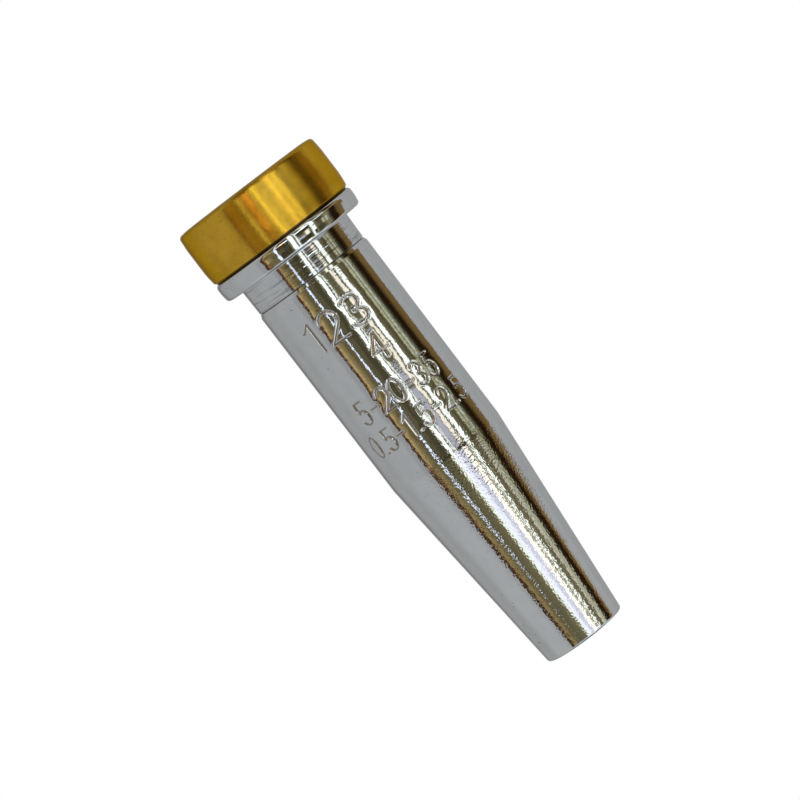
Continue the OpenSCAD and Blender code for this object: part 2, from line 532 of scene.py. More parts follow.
@dataclass(frozen=True)
class TurnedBrass(Finish):
    """Satin brass as it leaves the lathe, a little browned and with a film of clear oil."""

    name: str = "turned_brass"
    colour: Colour = (0.66, 0.385, 0.034)
    roughness: float = 0.25
    tarnish: Stain = Stain((0.54, 0.305, 0.023), 0.35, 0.70, 0.8)
    fleck: Stain = Stain((0.30, 0.16, 0.02), 0.60, 0.74, 0.7)
    satin: float = 1.0
    quarter_turn: float = 0.25
    film: float = 0.12
    film_roughness: float = 0.3
    edge: Colour = (0.85, 0.65, 0.25)
    line_h: float = 0.000006
    grain_h: float = 0.000011

    CLOUD = {"Size": 0.003, "Detail": 4.0}
    DUST = {"Size": 0.0003, "Detail": 3.0}
    LINES = {"Pitch": 0.00012, "Wander": 2.0}
    GRAIN = {"Size": 0.00022, "Detail": 2.0}

    def inputs(self, coat: Coating) -> dict[str, object]:
        """Adds what the satin and the film need to the shader's inputs.

        Args:
            coat: the finish's bench.

        Returns:
            A value or an output socket for each input, by name.
        """
        tangent = coat.add("Tangent", direction_type="RADIAL", axis="Z")
        return super().inputs(coat) | {
            "Anisotropic": self.satin,
            "Anisotropic Rotation": self.quarter_turn,
            "Tangent": tangent.outputs[0],
            "Specular Tint": (*self.edge, 1.0),
            "Coat Weight": self.film,
            "Coat Roughness": self.film_roughness,
        }

    def tint(self, coat: Coating) -> NodeSocket:
        """Gives the colour of browned and flecked brass, with painted shade in the seam.

        Args:
            coat: the finish's bench.

        Returns:
            The colour.
        """
        colour = coat.stain((*self.colour, 1.0), coat.grain(self.CLOUD), self.tarnish)
        # Painted shade darkens the brass along the seam under the flange.
        return self.shade_seam(coat, coat.stain(colour, coat.grain(self.DUST), self.fleck))

    def relief(self, coat: Coating) -> NodeSocket:
        """Gives the height of the tool lines and the grain.

        Args:
            coat: the finish's bench.

        Returns:
            The height.
        """
        height = coat.maths("MULTIPLY", coat.grain(self.GRAIN), self.grain_h)
        return coat.maths("MULTIPLY_ADD", coat.tool_lines(self.LINES), self.line_h, height)


@dataclass(frozen=True)
class BrightPlating(Finish):
    """Bright plating over turned copper: fine grain, coarser on the taper, and tool lines."""

    name: str = "bright_plating"
    colour: Colour = (0.60, 0.605, 0.61)
    roughness: float = 0.06
    dull: Stain = Stain((0.576, 0.5808, 0.5856), 0.40, 0.65, 1.0)
    speck: Stain = Stain((0.16, 0.16, 0.17), 0.68, 0.76, 0.8)
    copper: Colour = (0.23, 0.175, 0.115)
    # Share of painted shade in the scribed groove at the step.
    scribed_shade_share: float = 0.4
    worn_from: float = 0.36
    worn_to: float = 0.46
    worn_share: float = 0.42
    grain_h: float = 0.0000055
    taper_grain_h: float = 0.000012
    low_grain_h: float = -0.0000035
    wave_h: float = 0.000002
    ring_h: float = 0.0000005
    neck_ring_h: float = 0.000030

    MOTTLE = {"Size": 0.002, "Detail": 4.0}
    DUST = {"Size": 0.0006, "Detail": 3.0}
    GRAIN = {"Size": 0.00028, "Detail": 0.6}
    WAVES = {"Size": 0.0006, "Detail": 1.0}
    WORN_RINGS = {"Pitch": 0.00022, "Wander": 1.5}
    RINGS = {"Pitch": 0.00026, "Wander": 1.5}
    # Heights of the scribed groove at the step, which get painted shade.
    SCRIBED_SHADE = {"Low": 0.01490, "High": 0.01506, "Edge": 0.00004}
    NECK = {"Low": 0.0111, "High": 0.0149, "Edge": 0.0001}
    BELOW_BODY = {"Low": 0.0, "High": 0.0149, "Edge": 0.0002}
    TAPER = {"Low": 0.0440, "High": 0.1, "Edge": 0.006}

    def tint(self, coat: Coating) -> NodeSocket:
        """Gives the colour of plating: dull and specked in places, worn on the neck, and darkened
        with painted shade in the seam and the scribed groove.

        Args:
            coat: the finish's bench.

        Returns:
            The colour.
        """
        colour = coat.stain((*self.colour, 1.0), coat.grain(self.MOTTLE), self.dull)
        # Painted shade in the seam between the pieces.
        colour = self.shade_seam(coat, coat.stain(colour, coat.grain(self.DUST), self.speck))
        # Painted shade in the scribed groove.
        scribed_shade = coat.maths("MULTIPLY", coat.zone(self.SCRIBED_SHADE), self.scribed_shade_share)
        colour = coat.blend(scribed_shade, colour, (*self.groove_shade, 1.0))
        rings = coat.tool_lines(self.WORN_RINGS)
        worn = coat.spread(rings, self.worn_from, self.worn_to, self.worn_share, 0.0)
        worn = coat.maths("MULTIPLY", worn, coat.zone(self.NECK))
        colour = coat.blend(worn, colour, (*self.speck.colour, 1.0))
        marked = coat.add("Attribute", attribute_name="marked").outputs["Fac"]
        return coat.blend(marked, colour, (*self.copper, 1.0))

    def relief(self, coat: Coating) -> NodeSocket:
        """Adds up the height of the surface's fine relief.

        Args:
            coat: the finish's bench.

        Returns:
            The height.
        """
        grain_h = coat.maths(
            "MULTIPLY_ADD", coat.zone(self.TAPER), self.taper_grain_h, self.grain_h
        )
        grain_h = coat.maths(
            "MULTIPLY_ADD", coat.zone(self.BELOW_BODY), self.low_grain_h, grain_h
        )
        ring_h = coat.maths("MULTIPLY_ADD", coat.zone(self.NECK), self.neck_ring_h, self.ring_h)
        height = coat.maths("MULTIPLY", coat.grain(self.GRAIN), grain_h)
        height = coat.maths("MULTIPLY_ADD", coat.grain(self.WAVES), self.wave_h, height)
        return coat.maths("MULTIPLY_ADD", coat.tool_lines(self.RINGS), ring_h, height)


def arc(centre: Point, width: float, height: float, start: float, end: float) -> list[Point]:
    """Gives points along an upright elliptic arc.

    Args:
        centre: the middle of the ellipse.
        width: half its width.
        height: half its height.
        start: the first angle in degrees, anticlockwise from the right.
        end: the last angle.

    Returns:
        Points about SIGN_STEP degrees apart.
    """
    steps = max(2, round(abs(end - start) / SIGN_STEP))
    angles = [math.radians(start + (end - start) * i / steps) for i in range(steps + 1)]
    return [(centre[0] + width * math.cos(a), centre[1] + height * math.sin(a)) for a in angles]


@dataclass(frozen=True)
class Numeral:
    """A sign drawn with one cutter: its strokes at a height of 1, and its advance."""

    advance: float
    strokes: tuple[list[Point], ...]


NUMERALS = {
    "0": Numeral(0.85, (arc((0.31, 0.5), 0.31, 0.5, 0, 360),)),
    "1": Numeral(0.66, ([(0.08, 0.78), (0.34, 1.0), (0.34, 0.0)],)),
    "2": Numeral(0.85, (arc((0.31, 0.69), 0.30, 0.31, 165, -40) + [(0.02, 0.0), (0.62, 0.0)],)),
    "3": Numeral(
        0.85, (arc((0.30, 0.74), 0.27, 0.26, 150, -90), arc((0.30, 0.25), 0.31, 0.25, 90, -150))
    ),
    "4": Numeral(0.88, ([(0.46, 0.0), (0.46, 1.0), (0.0, 0.30), (0.64, 0.30)],)),
    "5": Numeral(0.85, ([(0.56, 1.0), (0.12, 1.0)] + arc((0.30, 0.31), 0.31, 0.32, 130, -150),)),
    "-": Numeral(0.75, ([(0.08, 0.45), (0.50, 0.45)],)),
    ".": Numeral(0.42, ([(0.10, 0.02), (0.14, 0.02)],)),
}


@dataclass(frozen=True)
class MarkedRow:
    """A row of numbers: where it starts round the body and along it, and its size."""

    text: str
    start: float
    top: float
    height: float
    narrowing: float = 1.0

    def strokes(self) -> Iterator[list[Point]]:
        """Draws the row.

        Yields:
            Each stroke as points of (way round the body, height above the seat).
        """
        pen = 0.0
        for sign in self.text:
            numeral = NUMERALS[sign]
            width = self.height * self.narrowing
            for stroke in numeral.strokes:
                yield [
                    (self.start - (pen + x) * width, self.top + (1.0 - y) * self.height)
                    for x, y in stroke
                ]
            pen += numeral.advance


@dataclass
class RatingMarks:
    """Plain numbers rolled into the body by a round-nosed marking tool."""

    rows: tuple[MarkedRow, ...] = (
        MarkedRow("123", 6.4, 19.5, 4.5),
        MarkedRow("4", -0.1, 25.6, 3.7),
        MarkedRow("5-20-35", 7.0, 32.0, 3.4, 0.72),
        MarkedRow("0.5-1.5-2.5", 9.0, 36.9, 3.2, 0.72),
    )
    stroke_w: float = 0.38
    depth: float = 0.11
    bared: float = 0.8
    burr: float = 0.018
    burr_w: float = 0.07
    dish: float = 0.02
    dish_w: float = 0.75
    margin: float = 1.2
    sample: float = 0.04

    @property
    def low(self) -> float:
        """The lowest height that the marks reach."""
        return min(row.top for row in self.rows) - self.margin

    @property
    def high(self) -> float:
        """The greatest height that the marks reach."""
        return max(row.top + row.height for row in self.rows) + self.margin

    def press(self, bm: BMesh, inner_radius: float) -> int:
        """Presses the marks into the outside of a turned body.

        Args:
            bm: the body, in millimetres, with close rows where the marks are.
            inner_radius: points nearer to the axis than this are left alone.

        Returns:
            How many points moved.
        """
        tree = self._tree()
        marked = bm.verts.layers.float.new("marked")
        moved = 0
        for vert in bm.verts:
            radius = vert.co.xy.length
            if radius < inner_radius or not self.low < vert.co.z < self.high:
                continue
            way = math.atan2(vert.co.x, -vert.co.y) * radius
            _, _, distance = tree.find((way, vert.co.z, 0.0))
            if distance < self.margin:
                vert.co.xy *= 1.0 + self._rise(distance) / radius
                vert[marked] = self.bared * max(0.0, 1.0 - (2 * distance / self.stroke_w) ** 2)
                moved += 1
        return moved

    def _tree(self) -> KDTree:
        """Lines the strokes with points.

        Returns:
            The points, quick to search.
        """
        points: list[Point] = []
        for row in self.rows:
            for stroke in row.strokes():
                for one, other in zip(stroke, stroke[1:]):
                    steps = max(1, math.ceil(math.dist(one, other) / self.sample))
                    way, rise = other[0] - one[0], other[1] - one[1]
                    shares = (i / steps for i in range(steps + 1))
                    points.extend((one[0] + way * s, one[1] + rise * s) for s in shares)
        tree = KDTree(len(points))
        for i, (way, height) in enumerate(points):
            tree.insert((way, height, 0.0), i)
        tree.balance()
        return tree

    def _rise(self, distance: float) -> float:
        """Gives the profile of a stroke: its cut, its lip and the dish round it.

        Args:
            distance: how far a point is from the middle of the nearest stroke.

        Returns:
            How far the surface stands out there.
        """
        half = self.stroke_w / 2
        cut = -self.depth * (1.0 - (distance / half) ** 2) if distance < half else 0.0
        lip = self.burr * math.exp(-(((distance - half - self.burr_w) / self.burr_w) ** 2))
        edge = 1.0 - (distance / self.margin) ** 2
        sink = -self.dish * math.exp(-((distance / self.dish_w) ** 2)) * edge
        return cut + lip + sink


@dataclass
class PlatedShell:
    """The turned copper shell, plated bright: flange, neck, body and taper."""

    head_top: float = 8.3
    flange_r: float = 11.27
    flange_top: float = 11.1
    flange_heel: float = 0.03
    flange_draw: float = 0.2
    flange_draw_h: float = 1.4
    flange_blend: float = 5.0
    flange_head_round: float = 0.65
    flange_nut_round: float = 0.5
    neck_r: float = 8.8
    neck_draw: float = 0.09
    neck_fillet: float = 0.2
    step: float = 15.1
    line_w: float = 0.2
    line_depth: float = 0.15
    step_h: float = 0.5
    body_r: float = 8.925
    body_end_r: float = 8.85
    taper: float = 45.0
    blend: float = 6.0
    tip_r: float = 6.125
    end: float = 76.2
    end_round: float = 0.4
    exit_r: float = 3.8
    exit_chamfer: float = 0.25
    exit_h: float = 16.2
    chamber_r: float = 6.6
    chamber_top: float = 44.0
    socket_r: float = 7.31
    socket_top: float = 15.3
    socket_lead: float = 0.4
    edge_round: float = 0.06
    line_round: float = 0.03
    marks: RatingMarks = field(default_factory=RatingMarks)

    MARKED = Sector(start=-156.0, sweep=130.0, steps=232)
    PLAIN = Sector(start=-26.0, sweep=230.0, steps=96)
    ROW = 0.085
    BORE_CLEARANCE = 1.0

    def corners(self) -> list[Corner]:
        """Gives the outline.

        Returns:
            Its corners: up the outside, over the flame end and down the inside.
        """
        neck_end = self.neck_r - self.neck_draw
        return [
            Corner(self.socket_r + self.socket_lead, self.head_top),
            Corner(self.flange_r - self.flange_heel, self.head_top, self.flange_head_round),
            Corner(self.flange_r, self.flange_top - self.flange_draw_h, self.flange_blend),
            Corner(self.flange_r - self.flange_draw, self.flange_top, self.flange_nut_round),
            Corner(self.neck_r, self.flange_top, self.neck_fillet),
            Corner(neck_end, self.step - self.line_w, self.line_round),
            Corner(neck_end - self.line_depth, self.step - self.line_w / 2),
            Corner(neck_end, self.step, self.line_round),
            Corner(self.body_r, self.step + self.step_h, self.edge_round),
            Corner(self.body_end_r, self.taper, self.blend),
            Corner(self.tip_r, self.end, self.end_round),
            Corner(self.exit_r + self.exit_chamfer, self.end, self.edge_round),
            Corner(self.exit_r, self.end - self.exit_chamfer),
            Corner(self.exit_r, self.end - self.exit_h),
            Corner(self.chamber_r, self.chamber_top),
            Corner(self.chamber_r, self.socket_top),
            Corner(self.socket_r, self.socket_top),
            Corner(self.socket_r, self.head_top + self.socket_lead),
        ]

    def build(self, finish: BrightPlating, effects: Effects) -> Object:
        """Turns, marks and dresses the shell.

        Args:
            finish: the plating.
            effects: the shared shader groups.

        Returns:
            The finished piece, which stands for the plated_shell node.
        """
        fine = FineStretch(self.marks.low, self.marks.high, self.ROW)
        bm = Turning(self.corners(), (self.MARKED, self.PLAIN)).build(fine)
        moved = self.marks.press(bm, self.chamber_r + self.BORE_CLEARANCE)
        LOG.info("marks moved %d points", moved)
        piece = finished_object("shell", bm, finish.material(effects))
        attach(piece, "root")
        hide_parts("plated_shell")
        return piece


@dataclass
class BrassCore:
    """The turned brass core: head with seat face, spigot, stem and splined end."""

    head_r: float = 11.35
    head_h: float = 8.3
    head_round: float = 0.55
    chamfer: float = 0.35
    lead_in: float = 0.16
    lead_h: float = 2.2
    heel_in: float = 0.18
    heel_h: float = 1.9
    draw_blend: float = 10.0
    rim_w: float = 1.4
    rim_h: float = 0.15
    mouth_r: float = 2.6
    mouth_chamfer: float = 0.6
    groove_in: float = 4.4
    groove_out: float = 6.4
    groove_depth: float = 1.2
    port_count: int = 6
    port_r: float = 0.9
    port_circle: float = 5.4
    relief_r: float = 7.05
    relief_top: float = 9.1
    spigot_r: float = 7.3
    spigot_top: float = 15.1
    spigot_lead: float = 0.4
    stem_r: float = 4.0
    stem_top: float = 49.1
    waist_r: float = 3.0
    waist_top: float = 54.1
    spline_r: float = 3.78
    spline_low: float = 62.7
    spline_chamfer: float = 0.25
    end: float = 74.7
    orifice_r: float = 0.6
    orifice_low: float = 64.7
    feed_r: float = 1.1
    oxygen_r: float = 2.0
    oxygen_top: float = 44.0
    drill_point: float = 118.0
    slot_count: int = 20
    slot_w: float = 0.5
    slot_depth: float = 0.6
    edge_round: float = 0.05

    STEPS = 224
    DRILL_STEPS = 40
    OVERCUT = 1.0

    def corners(self) -> list[Corner]:
        """Gives the outline.

        Returns:
            Its corners: out over the seat, up the outside and down the oxygen bore.
        """
        slope = math.tan(math.radians(self.drill_point / 2))
        waist_low = self.spline_low - (self.spline_r - self.waist_r)
        return [
            Corner(self.mouth_r, 0.0, self.edge_round),
            Corner(self.groove_in, 0.0, self.edge_round),
            Corner(self.groove_in, self.groove_depth),
            Corner(self.groove_out, self.groove_depth),
            Corner(self.groove_out, 0.0, self.edge_round),
            Corner(self.head_r - self.lead_in - self.rim_w, 0.0),
            Corner(self.head_r - self.lead_in, self.rim_h, self.head_round),
            Corner(self.head_r, self.lead_h, self.draw_blend),
            Corner(self.head_r, self.head_h - self.heel_h, self.draw_blend),
            Corner(self.head_r - self.heel_in, self.head_h - self.chamfer, self.edge_round),
            Corner(self.head_r - self.heel_in - self.chamfer, self.head_h, self.edge_round),
            Corner(self.relief_r, self.head_h),
            Corner(self.relief_r, self.relief_top),
            Corner(self.spigot_r, self.relief_top + self.spigot_r - self.relief_r),
            Corner(self.spigot_r, self.spigot_top - self.spigot_lead),
            Corner(self.spigot_r - self.spigot_lead, self.spigot_top),
            Corner(self.stem_r, self.spigot_top),
            Corner(self.stem_r, self.stem_top),
            Corner(self.waist_r, self.waist_top),
            Corner(self.waist_r, waist_low),
            Corner(self.spline_r, self.spline_low),
            Corner(self.spline_r, self.end - self.spline_chamfer),
            Corner(self.spline_r - self.spline_chamfer, self.end),
            Corner(self.orifice_r, self.end, self.edge_round),
            Corner(self.orifice_r, self.orifice_low + (self.feed_r - self.orifice_r) / slope),
            Corner(self.feed_r, self.orifice_low),
            Corner(self.feed_r, self.oxygen_top + (self.oxygen_r - self.feed_r) / slope),
            Corner(self.oxygen_r, self.oxygen_top),
            Corner(self.oxygen_r, self.mouth_chamfer),
        ]

    def build(self, finish: TurnedBrass, effects: Effects) -> Object:
        """Turns, drills, slots and dresses the core.

        Args:
            finish: the brass.
            effects: the shared shader groups.

        Returns:
            The finished piece, which stands for the brass_core node.
        """
        bm = Turning(self.corners(), (Sector(0.0, 360.0, self.STEPS),)).build()
        piece = finished_object("core", bm, finish.material(effects))
        self._cut(piece, self._port_drills())
        self._cut(piece, self._slot_saws())
        piece.data.set_sharp_from_angle(angle=SHARP_EDGE)
        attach(piece, "root")
        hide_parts("brass_core")
        return piece

    def _port_drills(self) -> BMesh:
        """Makes the drills of the gas ports.

        Returns:
            The drills, in millimetres.
        """
        bm = bmesh.new()
        length = self.spigot_top + 2 * self.OVERCUT
        for i in range(self.port_count):
            place = Matrix.Rotation(math.tau * i / self.port_count, 4, "Z") @ Matrix.Translation(
                (self.port_circle, 0.0, length / 2 - self.OVERCUT)
            )
            bmesh.ops.create_cone(
                bm, cap_ends=True, segments=self.DRILL_STEPS, depth=length, matrix=place,
                radius1=self.port_r, radius2=self.port_r,
            )
        return bm

    def _slot_saws(self) -> BMesh:
        """Makes the saws of the slots round the end of the core.

        Returns:
            The saws, in millimetres.
        """
        bm = bmesh.new()
        floor = self.spline_r - self.slot_depth
        reach = self.slot_depth + self.OVERCUT
        height = self.end - self.spline_low + 2 * self.OVERCUT
        size = Matrix.Diagonal((reach, self.slot_w, height, 1.0))
        low = self.spline_low - self.OVERCUT
        middle = Matrix.Translation((floor + reach / 2, 0.0, low + height / 2))
        for i in range(self.slot_count):
            turn = Matrix.Rotation(math.tau * i / self.slot_count, 4, "Z")
            bmesh.ops.create_cube(bm, size=1.0, matrix=turn @ middle @ size)
        return bm

    def _cut(self, piece: Object, tools: BMesh) -> None:
        """Takes the tools' shape out of the piece and keeps the result as its mesh.

        Args:
            piece: the object to cut.
            tools: the cutters in millimetres, which are freed.
        """
        cutter = finished_object("cutter", tools, piece.data.materials[0])
        boolean = piece.modifiers.new("cut", "BOOLEAN")
        boolean.operation = "DIFFERENCE"
        boolean.solver = "EXACT"
        boolean.object = cutter
        depsgraph = bpy.context.evaluated_depsgraph_get()
        whole = piece.data
        piece.data = bpy.data.meshes.new_from_object(piece.evaluated_get(depsgraph))
        piece.data.name = piece.name
        piece.modifiers.clear()
        bpy.data.meshes.remove(whole)
        bpy.data.meshes.remove(cutter.data)


class Paint(Enum):
    """What the panels of the light tent are covered with, as linear colours."""

    WALL = (0.56, 0.575, 0.585)
    OCHRE = (0.24, 0.15, 0.05)
    FLAG = (0.026, 0.012, 0.005)
    OLIVE = (0.38, 0.38, 0.23)
    DUSK = (0.16, 0.14, 0.075)
    MINT = (1.60, 1.70, 1.58)
    CREAM = (1.80, 1.68, 1.40)
    LILAC = (1.20, 1.22, 1.42)
    SKY = (1.30, 1.50, 1.80)
    SAND = (0.42, 0.33, 0.15)
    RUST = (0.50, 0.24, 0.09)
    LAMP = (4.0, 2.0, 0.9)
    PEACH = (2.0, 1.4, 1.1)


@dataclass(frozen=True)
class Panel:
    """An upright panel of the tent, up to a bearing, in a lower and an upper half."""

    until: float
    low: Paint
    low_level: float
    high: Paint
    high_level: float
    blur: float = 1.0

    CROWN_GAIN = 1.1

    def lights(self) -> tuple[Vector, Vector, Vector]:
        """Works out the panel's lights.

        Returns:
            Its light low down, high up and above its upper half.
        """
        low = Vector(self.low.value) * self.low_level
        high = Vector(self.high.value) * self.high_level
        if self.high is Paint.WALL:
            return low, high, high * self.CROWN_GAIN
        return low, high, (high + Vector(Paint.SKY.value)) / 2


@dataclass(frozen=True)
class Strip:
    """An upright length of cloth or light that hangs in front of the panels."""

    start: float
    until: float
    bottom: float
    top: float
    paint: Paint
    level: float = 1.0


@dataclass(frozen=True)
class Blind:
    """A part of the turn that is covered below and above what the body reflects."""

    start: float
    until: float
    paint: Paint
    level: float

    def strips(self, spans: Sequence[tuple[float, float]]) -> Iterator[Strip]:
        """Gives its strip in each span from a bottom to a top."""
        for bottom, top in spans:
            yield Strip(self.start, self.until, bottom, top, self.paint, self.level)


@dataclass
class LightTent:
    """A round tent of pale and dark panels that the bright metal reflects.

    Bearings are degrees from the camera's side, positive towards +X. Each is the way in which
    the shell's body, seen from the camera, reflects that part of the tent. Bearings and levels
    were fitted until the render's stripes had the photograph's colours and brightness.
    """

    radius: float = 300.0
    body_r: float = 8.9
    foot: float = -520.0
    dark_r: float = 110.0
    pale_r: float = 160.0
    split: float = 112.0
    split_blur: float = 12.0
    crown: float = 250.0
    crown_blur: float = 30.0
    top: float = 600.0
    hub_r: float = 1.0
    hem: float = 1.0
    first: float = -105.7
    strip_r: float = 290.0
    strip_gap: float = 1.0
    panel_step: float = 4.0
    strip_step: float = 10.0
    base_level: float = 0.8
    roof_level: float = 0.45
    blinds: tuple[Blind, ...] = (
        Blind(-111.5, -96.0, Paint.OCHRE, 1.05),
        Blind(-96.0, -91.0, Paint.OCHRE, 0.65),
        Blind(-91.0, -78.5, Paint.FLAG, 0.9),
        Blind(-78.5, -74.5, Paint.DUSK, 0.75),
        Blind(-74.5, -65.5, Paint.DUSK, 1.9),
        Blind(-65.5, -61.5, Paint.DUSK, 1.25),
        Blind(-61.5, -49.5, Paint.DUSK, 0.6),
        Blind(-39.2, -35.4, Paint.DUSK, 0.7),
        Blind(-35.4, -15.5, Paint.DUSK, 0.4),
        Blind(-1.8, 17.8, Paint.DUSK, 0.45),
        Blind(17.8, 21.6, Paint.SKY, 1.2),
        Blind(21.6, 38.6, Paint.SAND, 0.55),
        Blind(38.6, 41.6, Paint.RUST, 0.8),
        Blind(41.6, 45.6, Paint.RUST, 0.17),
    )
    blind_spans: tuple[tuple[float, float], ...] = ((-8.0, 21.0), (70.0, 107.0))
    strips: tuple[Strip, ...] = (
        Strip(-100.0, -68.0, -38.0, -8.0, Paint.DUSK, 3.2),
        Strip(-68.0, -63.0, -38.0, -8.0, Paint.SKY, 0.7),
        Strip(-63.0, -54.0, -38.0, -8.0, Paint.SKY, 1.4),
        Strip(-54.0, -50.0, -38.0, -8.0, Paint.SKY, 1.9),
        Strip(-50.0, -38.0, -38.0, -8.0, Paint.SKY, 0.8),
        Strip(-38.0, -34.5, -38.0, -8.0, Paint.SKY, 2.6),
        Strip(-34.5, -27.0, -38.0, -8.0, Paint.SKY, 4.0),
        Strip(-27.0, -15.0, -38.0, -8.0, Paint.SKY, 2.9),
        Strip(-10.5, -2.0, -38.0, -8.0, Paint.SKY, 1.1),
        Strip(-2.0, 2.5, -38.0, -8.0, Paint.SKY, 2.7),
        Strip(2.5, 10.5, -50.0, -20.0, Paint.PEACH, 3.3),
        Strip(10.5, 17.5, -50.0, -20.0, Paint.PEACH, 1.4),
        Strip(23.0, 31.0, -38.0, -8.0, Paint.SAND, 2.2),
        Strip(5.5, 7.8, -56.0, -20.0, Paint.LAMP, 1.5),
        Strip(-26.8, -15.3, 46.0, 70.0, Paint.LILAC, 0.56),
        Strip(-46.6, -42.2, 17.0, 24.0, Paint.DUSK, 0.5),
        Strip(-46.6, -42.2, 70.0, 88.0, Paint.DUSK, 0.5),
        Strip(-7.8, -1.5, 147.0, 240.0, Paint.DUSK, 1.6),
        Strip(18.3, 20.7, -500.0, 130.0, Paint.SKY, 1.15),
        Strip(-112.5, -104.5, 62.0, 93.0, Paint.WALL, 0.95),
        Strip(-108.0, -99.5, 107.5, 119.0, Paint.WALL, 0.96),
    )
    panels: tuple[Panel, ...] = (
        Panel(-98.5, Paint.OCHRE, 0.97, Paint.WALL, 0.97, 3.0),
        Panel(-95.5, Paint.OCHRE, 0.90, Paint.OCHRE, 1.9, 2.0),
        Panel(-91.5, Paint.OCHRE, 0.76, Paint.OCHRE, 1.1, 2.0),
        Panel(-88.0, Paint.OCHRE, 0.32, Paint.OCHRE, 0.65, 2.0),
        Panel(-79.0, Paint.FLAG, 0.95, Paint.FLAG, 1.0, 1.5),
        Panel(-75.3, Paint.OLIVE, 0.11, Paint.FLAG, 1.3, 1.5),
        Panel(-72.7, Paint.OLIVE, 0.42, Paint.OLIVE, 0.25),
        Panel(-69.4, Paint.OLIVE, 0.95, Paint.OLIVE, 1.55),
        Panel(-67.2, Paint.MINT, 0.5, Paint.MINT, 0.38),
        Panel(-65.2, Paint.OLIVE, 1.25, Paint.OLIVE, 1.45),
        Panel(-63.4, Paint.OLIVE, 0.62, Paint.OLIVE, 1.55),
        Panel(-60.2, Paint.OLIVE, 1.90, Paint.CREAM, 0.54),
        Panel(-58.8, Paint.OLIVE, 0.9, Paint.CREAM, 0.26),
        Panel(-53.5, Paint.DUSK, 0.78, Paint.DUSK, 1.25),
        Panel(-48.6, Paint.DUSK, 1.15, Paint.DUSK, 1.45),
        Panel(-46.6, Paint.OLIVE, 0.75, Paint.OLIVE, 0.9),
        Panel(-42.2, Paint.MINT, 1.22, Paint.MINT, 1.2),
        Panel(-39.2, Paint.MINT, 1.05, Paint.OLIVE, 0.9),
        Panel(-35.2, Paint.OLIVE, 0.54, Paint.CREAM, 0.38),
        Panel(-28.6, Paint.CREAM, 0.88, Paint.CREAM, 1.3),
        Panel(-26.8, Paint.OLIVE, 0.85, Paint.CREAM, 1.10),
        Panel(-18.0, Paint.DUSK, 1.20, Paint.LILAC, 0.84),
        Panel(-15.3, Paint.OLIVE, 0.75, Paint.LILAC, 1.20),
        Panel(-13.0, Paint.MINT, 0.95, Paint.LILAC, 1.28),
        Panel(-10.2, Paint.OLIVE, 0.45, Paint.LILAC, 1.25),
        Panel(-4.3, Paint.MINT, 1.35, Paint.MINT, 0.95),
        Panel(-1.5, Paint.OLIVE, 0.65, Paint.OLIVE, 1.7, 1.5),
        Panel(8.5, Paint.DUSK, 0.62, Paint.DUSK, 1.35, 2.0),
        Panel(22.0, Paint.DUSK, 0.95, Paint.DUSK, 1.15, 4.0),
        Panel(29.0, Paint.SAND, 0.44, Paint.SAND, 0.52, 3.0),
        Panel(33.5, Paint.SAND, 0.74, Paint.SAND, 0.85, 3.0),
        Panel(36.6, Paint.SAND, 1.05, Paint.SAND, 1.00, 1.5),
        Panel(39.2, Paint.SAND, 1.65, Paint.RUST, 0.42),
        Panel(40.7, Paint.RUST, 0.90, Paint.FLAG, 3.0),
        Panel(44.4, Paint.FLAG, 3.4, Paint.FLAG, 2.2),
        Panel(45.4, Paint.WALL, 0.80, Paint.RUST, 0.16),
        Panel(54.0, Paint.WALL, 0.84, Paint.WALL, 0.94, 3.0),
        Panel(100.0, Paint.WALL, 0.98, Paint.WALL, 1.06, 20.0),
        Panel(134.0, Paint.WALL, 0.87, Paint.WALL, 0.85, 8.0),
        Panel(148.0, Paint.WALL, 0.78, Paint.WALL, 0.80, 8.0),
        Panel(165.0, Paint.WALL, 0.46, Paint.WALL, 0.54, 6.0),
        Panel(173.0, Paint.WALL, 0.80, Paint.WALL, 0.80, 2.0),
        Panel(187.0, Paint.WALL, 0.55, Paint.WALL, 0.74, 4.0),
        Panel(214.0, Paint.WALL, 0.74, Paint.WALL, 0.74, 10.0),
        Panel(236.0, Paint.WALL, 0.86, Paint.WALL, 0.86, 10.0),
        Panel(254.3, Paint.WALL, 0.94, Paint.WALL, 0.98, 1.5),
    )

    def build(self) -> Object:
        """Sets up the tent, which only reflections see.

        Returns:
            The tent.
        """
        bm = bmesh.new()
        glow = bm.verts.layers.float_color.new("glow")
        self._enclose(bm, glow)
        hangings = [strip for blind in self.blinds for strip in blind.strips(self.blind_spans)]
        for i, strip in enumerate((*hangings, *self.strips)):
            self._hang(bm, glow, strip, self.strip_r - i * self.strip_gap)
        tent = finished_object("light_tent", bm, self._cloth())
        tent.visible_camera = False
        tent.visible_diffuse = False
        tent.visible_shadow = False
        return tent

    def angle(self, turn: float) -> float:
        """Gives the direction in which the body reflects the tent at a bearing.

        Args:
            turn: the bearing in degrees.

        Returns:
            The angle from the +X axis, in radians.
        """
        wrapped = math.radians((turn + 180.0) % 360.0 - 180.0)
        offset = self.body_r * math.sin(wrapped / 2) / self.radius
        return math.radians(turn - 90.0) - offset

    @property
    def base_lights(self) -> tuple[Vector, Vector]:
        """The light of the dark middle and of the pale rim of the tent's base."""
        return Vector(Paint.FLAG.value), Vector(Paint.WALL.value) * self.base_level

    @property
    def roof_light(self) -> Vector:
        """The light of the tent's roof."""
        return Vector(Paint.WALL.value) * self.roof_level

